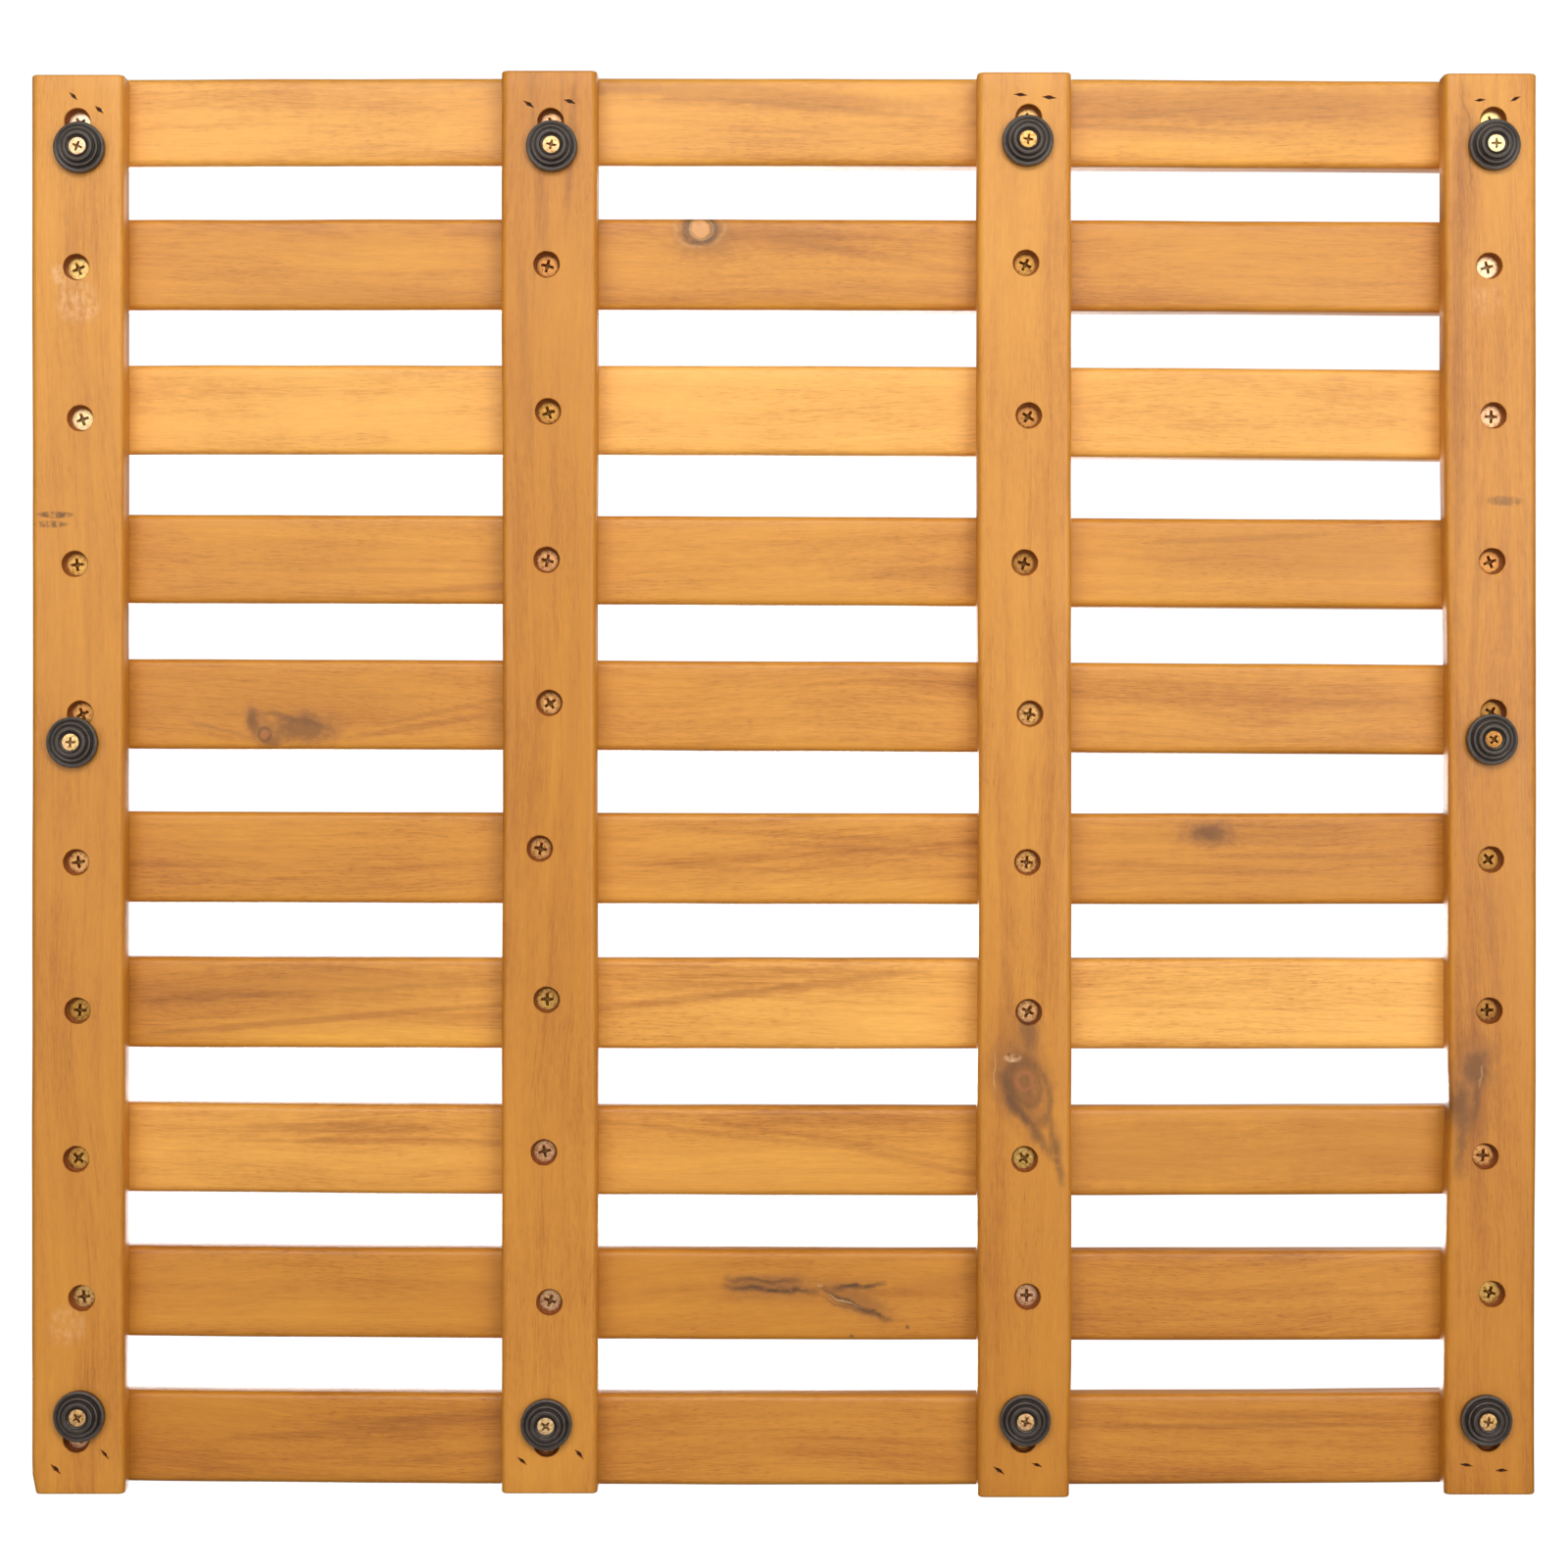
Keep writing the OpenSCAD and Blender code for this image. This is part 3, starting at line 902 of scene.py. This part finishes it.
SLAT_LOOKS = {
    1: look(
        (0.84, 0.75, 0.74),
        shade(140, 15, 90, 4, 0.4),
        shade(15, 10, 75, 5.5, 0.7, turn=4),
        shade(80, 13, 40, 3, 0.5, turn=2),
        shade(-20, 4.5, 50, 1.6, 0.5, turn=5),
        shade(-170, 7, 120, 9, 0.75),
        shade(-130, -2, 70, 1.5, 0.6, turn=2),
        shade(-180, -11, 110, 5, -0.6),
    ),
    2: look(
        (0.66, 0.65, 0.66),
        shade(100, 9, 30, 3, 0.4, turn=10),
        shade(0, 10, 34, 6, 0.8, turn=6),
        shade(-40, 2, 40, 2, 0.4, turn=9),
        shade(160, -12, 90, 5, 0.4),
        stain(29, 9, 15, 10, 0.35),
        vein((10, 11), (-24, 5), 2.4, 0.4, colour=SMOKE),
        knot(31, 13.3, 5.6, 5.4, 1.0, heart=PALE_HEART),
        ring(30.6, 13.3, 4.3, 4.1, 0.35, width=0.16, colour=PALE_LINE),
        ring(31.4, 13.6, 8.8, 7.4, 0.22, width=0.16, colour=PALE_LINE),
    ),
    3: look((0.85, 0.91, 0.86), streaks=0.2, bands=0.4, pores=0.35),
    4: look(
        (0.64, 0.69, 0.64),
        shade(110, -10, 40, 1.6, 0.6, turn=-4),
        shade(150, -4, 60, 1.4, 0.4),
        shade(-60, -3, 45, 2.4, 0.55, turn=-5),
        shade(-75, -8, 26, 5, 0.5),
        shade(-190, 4, 60, 11, 0.35),
        shade(-170, 9, 50, 1.4, 0.5, turn=-3),
    ),
    5: look(
        (0.61, 0.69, 0.69),
        shade(175, -2, 45, 12, 0.4),
        stain(180, -9, 15, 7, 0.8),
        vein((196, -3), (168, -9), 2.2, 0.6),
        vein((222, -5.5), (199, -12.5), 1.8, 0.7, colour=SMOKE),
        shade(135, -8, 32, 1.6, 0.7, turn=-10),
        shade(125, -2, 34, 1.3, 0.5, turn=-12),
        stain(196.5, -7, 3.2, 7.5, 0.95, turn=-12),
        stain(190, -13.5, 4.5, 3, 0.8),
        knot(192.6, -11.2, 2.3, 2.7, 0.8, heart=RED_HEART, rim=GREY_BROWN, halo=3.0),
        shade(-210, 2, 40, 2, 0.35, turn=-4),
    ),
    6: look(
        (0.61, 0.69, 0.60),
        shade(0, 9, 60, 1.4, 0.5, turn=3),
        shade(-40, 3, 60, 1.6, 0.5, turn=4),
        shade(30, -3, 50, 1.3, 0.4, turn=3),
        shade(-180, 9, 60, 5, 0.45),
        shade(-190, 1, 45, 1.4, 0.5),
        shade(-150, -3, 60, 1.6, 0.4, turn=3),
        stain(-157.5, 9.3, 10, 5.4, 1.0),
        vein((-164, 6), (-200, 5), 0.9, 0.35, colour=SMOKE),
        streaks=0.6,
    ),
    7: look(
        (0.62, 0.82, 0.93),
        shade(190, 6, 85, 9, 0.6, turn=-3),
        shade(170, -6, 90, 1.6, 0.8, turn=-5),
        shade(210, 2, 40, 1.4, 0.5, turn=-4),
        shade(120, 7, 50, 1.6, 0.5, turn=-3),
        shade(140, -13, 70, 4, -0.6),
        shade(35, 2, 45, 1.8, 0.8, turn=-7),
        shade(-10, 7, 50, 2.2, 0.7, turn=-8),
        shade(20, 9, 60, 4, 0.35, turn=-6),
        streaks=0.6,
    ),
    8: look(
        (0.78, 0.70, 0.60),
        shade(-135, 0, 45, 16, 0.5),
        shade(165, 8, 50, 2.6, 0.7),
        shade(140, 3, 60, 1.6, 0.6),
        shade(30, 7, 70, 1.3, 0.5, turn=6),
        shade(-20, 4, 60, 1.4, 0.5, turn=9),
        shade(-50, -4, 40, 1.6, 0.5, turn=12),
        shade(-20, 12, 50, 4, 0.35),
        shade(-215, 2, 50, 14, 0.35),
    ),
    9: look(
        (0.60, 0.57, 0.63),
        shade(0, 1, 55, 9, 0.4),
        shade(-60, 4, 30, 5, 0.4, turn=-8),
        stain(5, 4.0, 17, 3.6, 0.85),
        stain(-28, -1, 15, 4, 0.5, turn=22),
        vein((23, 3.2), (-14, 1.2), 2.1, 0.95, colour=BARK, halo=0.6, ragged=2.2),
        vein((23, 6.0), (-8, 5.2), 1.4, 0.8, halo=0.5, ragged=2.4),
        vein((-13, 2.0), (-39, 4.6), 1.7, 0.9, colour=BARK, halo=0.5, ragged=2.4),
        vein((-14, 2.2), (-41, -10), 1.8, 0.95, colour=BARK, halo=0.6, ragged=2.2),
        vein((-14, -0.5), (-33, -7.5), 0.8, 0.6, halo=0.3),
        vein((-15, 1.0), (-30, -4.6), 0.45, 0.5, colour=PALE_LINE),
        chalk(-13.5, 4.0, 1.2, 1.0, 0.6),
        stain(-45.6, -11.7, 1.1, 1.0, 1.0),
        stain(-25, -15, 1.0, 0.7, 0.8),
        shade(-170, 1, 80, 2, 0.4),
    ),
    10: look(
        (0.54, 0.62, 0.58),
        shade(110, 9, 60, 2.5, 0.6, turn=-4),
        shade(170, 2, 60, 1.6, 0.5, turn=-4),
        shade(120, -6, 50, 1.8, 0.4, turn=-5),
        shade(0, 12, 70, 4, 0.35),
        shade(-170, 5, 70, 1.4, 0.7),
        shade(-180, 9, 60, 2, 0.4),
    ),
}
RAIL_LOOKS = {
    1: look(
        (0.71, 0.60, 0.62),
        shade(205, 2, 24, 2.5, 0.5),
        shade(60, -4, 70, 1.6, 0.3),
        chalk(178, 0, 10, 9, 0.5),
        chalk(187, 7, 4, 3.5, 0.7),
        chalk(-199, 4, 8, 7, 0.35),
        scuff(99, 8.6, 1.3, 8.0, 0.9),
        scuff(95.6, 9.5, 1.4, 7.0, 0.8),
        **RAIL_FIGURE,
    ),
    2: look(
        (0.60, 0.57, 0.63),
        shade(235, -8, 34, 2, 0.8, turn=-4),
        shade(225, 4, 45, 3, 0.5, turn=5),
        shade(160, 9, 50, 2.5, 0.4, turn=3),
        shade(30, -4, 110, 3, -0.4, turn=-3),
        **RAIL_FIGURE,
    ),
    3: look(
        (0.69, 0.65, 0.56),
        shade(-106, 2, 26, 12, 0.7, turn=10),
        stain(-108, 1.5, 17, 9.5, 0.85, turn=12),
        stain(-91, -1.5, 9, 5, 0.75),
        vein((-95, 9), (-117, 7), 4.5, 0.5, colour=SMOKE, halo=0.3),
        vein((-98, 11), (-113, 11.5), 0.5, 0.35, colour=PALE_LINE),
        ring(-112, -1.5, 12.5, 7, 0.6, turn=18, width=0.30),
        ring(-110, -0.5, 8, 5, 0.5, turn=15, width=0.34),
        ring(-108.8, 0, 3.2, 3.0, 0.7, width=0.45, colour=RED_HEART),
        vein((-104, 9.5), (-122, 2), 3.8, 0.9),
        vein((-117, 4.5), (-131, -6), 3.4, 0.8),
        vein((-125, -3), (-138, -11), 3.2, 0.6),
        vein((-122, -10), (-148, -13.5), 3.0, 0.75),
        chalk(-100.4, 4.4, 1.6, 3.6, 0.9),
        stain(-99, 6, 0.9, 1.0, 1.0),
        stain(-99.6, 3, 0.8, 1.0, 1.0),
        shade(-75, 6, 18, 2, 0.4, turn=8),
        **RAIL_FIGURE,
    ),
    4: look(
        (0.70, 0.61, 0.56),
        shade(225, 9, 42, 4, 0.7),
        shade(150, 12, 110, 3, 0.55),
        shade(60, 6, 60, 1.6, 0.5, turn=-3),
        vein((262, 11), (215, 6), 1.0, 0.45),
        shade(-113, 9, 32, 11, 0.85),
        stain(-104.5, 6.5, 10, 7.5, 0.95, turn=-25),
        stain(-117.5, 12, 10, 6.5, 1.0),
        vein((-104, 2), (-128, 8), 3.2, 0.7),
        vein((-116, 9), (-146, 12), 3.0, 0.6),
        vein((-103, 3), (-112, 3.5), 0.6, 0.35, colour=PALE_LINE),
        shade(-80, 12, 26, 2, 0.5),
        scuff(104, -5, 2.2, 7.5, 0.6),
        chalk(178, 2, 7, 7, 0.3),
        **RAIL_FIGURE,
    ),
}

# How each slat was laid: the slope of its line and the bow of its middle towards +Y (millimetres)
SLAT_SLOPE = (0.0015, 0.0017, 0.0035, 0.0040, 0.0043, 0.0014, 0.0010, 0.0021, 0.0030, 0.0011)
SLAT_BOW = (0.9, 0.7, 0.8, 0.25, 0.25, -0.5, -0.4, -1.2, -0.9, -1.6)

# Edges drawn in along the rails, as (side, from, to, fade, depth): waney edges and trimmed corners
RAIL_WANES = {
    1: [(1, -0.262, -0.262, 10 * MM, 1.5 * MM), (1, 0.02, 0.12, 60 * MM, 0.25 * MM)],
    2: [(1, -0.02, 0.10, 80 * MM, 0.35 * MM), (-1, -0.02, 0.06, 80 * MM, 0.4 * MM)],
    3: [(1, -0.06, 0.01, 60 * MM, 0.5 * MM), (-1, -0.30, -0.25, 40 * MM, 0.9 * MM)],
    4: [
        (1, -0.11, 0.02, 120 * MM, 1.5 * MM),
        (1, -0.125, -0.115, 12 * MM, 0.5 * MM),
        (-1, -0.30, -0.19, 90 * MM, 0.6 * MM),
    ],
}

# Directions of the torn brad marks of each rail, in degrees from +X, from its +Y end to its -Y end
TEARS = {
    "rail_1": (45, 42, 50, 45),
    "rail_2": (20, 35, 50, 40),
    "rail_3": (4, 6, 20, 35),
    "rail_4": (-25, -5, 10, 0),
}

# How bright each slat screw is painted, from the rail's +Y end, and then each foot screw: bright
# plating, and on the screws nearest the +Y end a painted glint of the key light. Below 0 it is
# tarnished.
PLATING_AND_GLINT = {
    "rail_1": (1.0, 0.45, 0.8, 0.05, 0.0, 0.15, -0.2, 0.0, 0.3, 0.3),
    "rail_2": (0.3, -0.2, -0.15, 0.1, 0.1, 0.05, 0.1, 0.3, 0.45, 0.2),
    "rail_3": (0.2, -0.35, -0.3, -0.5, 0.2, 0.15, 0.2, 0.3, 0.4, 0.2),
    "rail_4": (1.0, 0.75, 0.4, -0.2, -0.6, -0.5, -0.55, 0.05, 0.15, 0.2),
}
FOOT_PLATING_AND_GLINT = (0.6, 0.35, 0.1, 1.0, 0.35, 0.6, 0.45, 0.35, 0.55, -0.6)


def settle(obj, node):
    """Puts a finished piece in the place of its CAD node."""
    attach(obj, "root")
    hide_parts(node)


def finish_board(made, name, axis, lay, look, seed):
    """Shading, grain coordinates, materials and the board's place in the frame."""
    obj, centre, size = made
    mesh = obj.data
    mesh.materials.clear()
    mesh.materials.append(wood(name + "_wood", seed, look))
    mesh.materials.append(wood(name + "_painted_shade_bore_wood", seed, look, painted_shade_bore=True))
    mesh.polygons.foreach_set("material_index", [0] * len(mesh.polygons))
    paint_bores(mesh, centre, size, axis)
    add_grain(obj, centre, size, axis, lay)
    smooth(mesh)
    settle(obj, name)


def make_slats(screws, brads):
    screw_lo, screw_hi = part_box("slat_screws_rail_1")
    brad_lo, brad_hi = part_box("brads_rail_1")
    screw_bore = shank_hole(SCREW_R + PLAY, screw_hi.z - screw_lo.z + PLAY)
    brad_bore = shank_hole(BRAD_R + PLAY, brad_hi.z - brad_lo.z + PLAY)
    for k, name in enumerate(SLATS):
        lay = {"slope": SLAT_SLOPE[k], "bow": SLAT_BOW[k] * MM}
        made = board(name, ALONG_X, lay, k + 1)
        obj, centre, size = made
        holes = []
        for rail in RAILS:
            holes.append(placed(screw_bore, screws[rail][k]))
            near = [at for at in brads[rail] if abs(at.y - centre.y) < size.y / 2]
            holes += [placed(brad_bore, at) for at in near]
        cut(obj, merged(holes))
        finish_board(made, name, ALONG_X, lay, SLAT_LOOKS[k + 1], k + 1)


def make_rails(screws, brads):
    rail_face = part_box("rail_1")[0].z
    screw_lo, screw_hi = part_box("slat_screws_rail_1")
    brad_bore = shank_hole(BRAD_R + PLAY, BRAD_BORE)
    for number, name in enumerate(RAILS, 1):
        seed = number + 20
        lay = {"slope": 0.0, "bow": 0.0, "wanes": RAIL_WANES[number]}
        made = board(name, ALONG_Y, lay, seed)
        holes = []
        for at in screws[name]:
            holes.append(placed(screw_hole(screw_lo.z - rail_face, screw_hi.z - screw_lo.z), at))
        holes += [placed(brad_bore, at) for at in brads[name]]
        cut(made[0], merged(holes))
        tears = []
        for at, turn in zip(brads[name], TEARS[name]):
            reach, width = random.uniform(2.2, 2.9) * MM, random.uniform(0.65, 0.9) * MM
            pit = torn_pit(math.radians(turn), reach, width)
            tears.append(placed(pit, (at.x, at.y, rail_face)))
        cut(made[0], merged(tears))
        finish_board(made, name, ALONG_Y, lay, RAIL_LOOKS[number], seed)


def make_boards():
    random.seed(11)
    screws = {rail: places(f"slat_screws_{rail}", SCREW_REACH) for rail in RAILS}
    brads = {rail: places(f"brads_{rail}", BRAD_REACH) for rail in RAILS}
    make_slats(screws, brads)
    make_rails(screws, brads)


def depth_of(screw, head_r):
    """1 for the vertices down in a screw's cross recess, 0 on its face."""
    verts = np.array(screw[0])
    inside = np.hypot(verts[:, 0], verts[:, 1]) < 0.66 * head_r
    return (inside & (verts[:, 2] > 0.1 * head_r) & (verts[:, 2] < 0.7 * head_r)).astype(float)


def zinc_piece(node, screw, head_r, parts, tints, platings_and_glints, material):
    """One piece of placed copies of a screw, each with its own tint, and its plating with painted
    glint.
    """
    mesh = mesh_from(node + "_zinc", *merged(parts))
    smooth(mesh, 30)
    store(mesh, "tint", np.repeat(tints, len(screw[0])))
    store(mesh, "plating_and_glint", np.repeat(platings_and_glints, len(screw[0])))
    store(mesh, "deep", np.tile(depth_of(screw, head_r), len(parts)))
    mesh.materials.append(material)
    settle(new_object(node + "_zinc", mesh), node)


def make_screws(material):
    """The slat screws of each rail as one piece, each turned as it was left."""
    random.seed(5)
    lo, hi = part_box("slat_screws_rail_1")
    screw = screw_mesh("slat_screw", SCREW_R, SCREW_HEAD_R, hi.z - lo.z, SCREW_PITCH)
    for rail in RAILS:
        node = f"slat_screws_{rail}"
        spots = places(node, SCREW_REACH)
        parts = [placed(screw, at, random.uniform(0, math.pi / 2)) for at in spots]
        tints = [random.random() for _ in spots]
        zinc_piece(node, screw, SCREW_HEAD_R, parts, tints, PLATING_AND_GLINT[rail], material)


def make_feet(rubber_material, zinc_material):
    random.seed(8)
    lo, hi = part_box("foot_screw_1")
    screw = screw_mesh("foot_screw", FOOT_SCREW_R, FOOT_SCREW_HEAD_R, hi.z - lo.z, FOOT_SCREW_PITCH)
    for number, name in enumerate(FEET, 1):
        node = f"foot_screw_{number}"
        lo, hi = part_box(node)
        at = Vector(((lo.x + hi.x) / 2, (lo.y + hi.y) / 2, lo.z))
        foot = foot_mesh(name, at, number)
        foot.data.materials.append(rubber_material)
        settle(foot, name)
        parts = [placed(screw, at, random.uniform(0, math.pi / 2))]
        tint = 0.3 + 0.4 * random.random()
        plating_and_glint = FOOT_PLATING_AND_GLINT[number - 1]
        zinc_piece(node, screw, FOOT_SCREW_HEAD_R, parts, [tint], [plating_and_glint], zinc_material)


def dress_brads(material):
    for rail in RAILS:
        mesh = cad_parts[f"brads_{rail}"].data
        mesh.materials.clear()
        mesh.materials.append(material)


# ---------------- stage


def make_floor():
    """A pale floor that glows by itself, with a soft shadow round the mat painted from ambient
    occlusion, which lets every ray from below through.

    It whitens away from the mat, to meet the white backdrop without an edge.
    """
    x, z = FLOOR_HALF, cad_lo[2] - FLOOR_GAP
    mesh = mesh_from("floor", [(-x, -x, z), (x, -x, z), (x, x, z), (-x, x, z)], [(0, 1, 2, 3)])
    floor = new_object("floor", mesh)
    g = material_nodes("floor_pale")
    geometry = g.add("NewGeometry")
    near = g.add("AmbientOcclusion", {"Distance": 0.10}, samples=12).outputs["AO"]
    wide = g.add("AmbientOcclusion", {"Distance": 0.45}, samples=12).outputs["AO"]
    open_sky = g.times(g.math("POWER", near, 0.7), g.math("POWER", wide, 0.5))
    pale = g.ramp(open_sky, (0.0, linear(96, 88, 80)), (1.0, linear(238, 237, 235)))
    away = g.soft(g.length(geometry.outputs["Position"]), 0.5, 2.2)
    pale = g.mix(away, pale, (1, 1, 1, 1))
    lit = g.add("Emission", {"Color": pale, "Strength": 1.0}).outputs[0]
    clear = g.add("BsdfTransparent").outputs[0]
    blend = g.add("MixShader", {0: geometry.outputs["Backfacing"], 1: lit, 2: clear}).outputs[0]
    g.add("OutputMaterial", {"Surface": blend})
    mesh.materials.append(g.owner)
    floor.visible_diffuse = False
    floor.visible_glossy = False
    floor.visible_transmission = False
    floor.visible_shadow = False


def make_world():
    """White where the camera sees it.

    As light it is bright from below, dim from the sides, and bright again from nearly overhead on
    the -Y side.
    """
    world = bpy.data.worlds.new("studio")
    bpy.context.scene.world = world
    g = Nodes(world)
    _, y, z = g.split(g.add("TexCoord").outputs["Generated"])
    towards = g.span(y, -0.20, -0.08, 1.0, 0.12)
    above = g.add("Mix", {0: g.span(z, 0.80, 0.93), 2: SIDE_GLOW, 3: towards}).outputs[0]
    below = g.span(z, -0.15, -0.75, SIDE_GLOW, BELOW_GLOW)
    strength = g.add("Mix", {0: g.span(z, -0.05, 0.05), 2: below, 3: above}).outputs[0]
    glow = g.add("Background", {"Color": (1.0, 0.985, 0.96, 1), "Strength": strength}).outputs[0]
    seen = g.add("Background", {"Color": (1, 1, 1, 1), "Strength": 1.05}).outputs[0]
    direct = g.add("LightPath").outputs["Is Camera Ray"]
    pick = g.add("MixShader", {0: direct, 1: glow, 2: seen}).outputs[0]
    g.add("OutputWorld", {"Surface": pick})


def area_light(name, at, target, size, power):
    data = bpy.data.lights.new(name, "AREA")
    data.shape = "RECTANGLE"
    data.size, data.size_y = size
    data.energy = power
    lamp = bpy.data.objects.new(name, data)
    bpy.context.scene.collection.objects.link(lamp)
    lamp.location = at
    lamp.rotation_euler = (Vector(target) - Vector(at)).to_track_quat("-Z", "Y").to_euler()
    lamp.visible_camera = False


def make_lights():
    """Softboxes beside the camera below the mat, and a second set above it for the other views."""
    area_light("key_below", (0.0, 0.78, -1.20), (0, 0.05, 0), (1.3, 0.5), 10.6)
    area_light("left_below", (0.80, 0.12, -1.20), (0.1, 0, 0), (0.35, 0.7), 2.2)
    area_light("right_below", (-0.78, 0.12, -1.20), (-0.1, 0, 0), (0.35, 0.7), 4.6)
    area_light("key_above", (0.4, -0.5, 1.8), (0, 0, 0), (1.2, 1.2), 36)
    area_light("fill_above", (-1.0, 0.6, 1.5), (0, 0, 0), (1.0, 1.0), 12)


def make_camera():
    """Square to the underside and centred on it, with the frame's width measured at the rails."""
    data = bpy.data.cameras.new("camera")
    data.sensor_width = SENSOR
    data.lens = SENSOR * CAMERA_DISTANCE / FRAME_WIDTH
    camera = bpy.data.objects.new("camera", data)
    bpy.context.scene.collection.objects.link(camera)
    camera.location = (0, 0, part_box("rail_1")[0].z - CAMERA_DISTANCE)
    camera.rotation_euler = (0, math.pi, 0)
    bpy.context.scene.camera = camera


make_camera()
make_world()
make_lights()
make_floor()
zinc_plate = zinc("yellow_zinc")
make_boards()
make_screws(zinc_plate)
make_feet(rubber("black_rubber"), zinc_plate)
dress_brads(dull_steel("brad_steel"))

bpy.context.scene.view_settings.view_transform = "Standard"
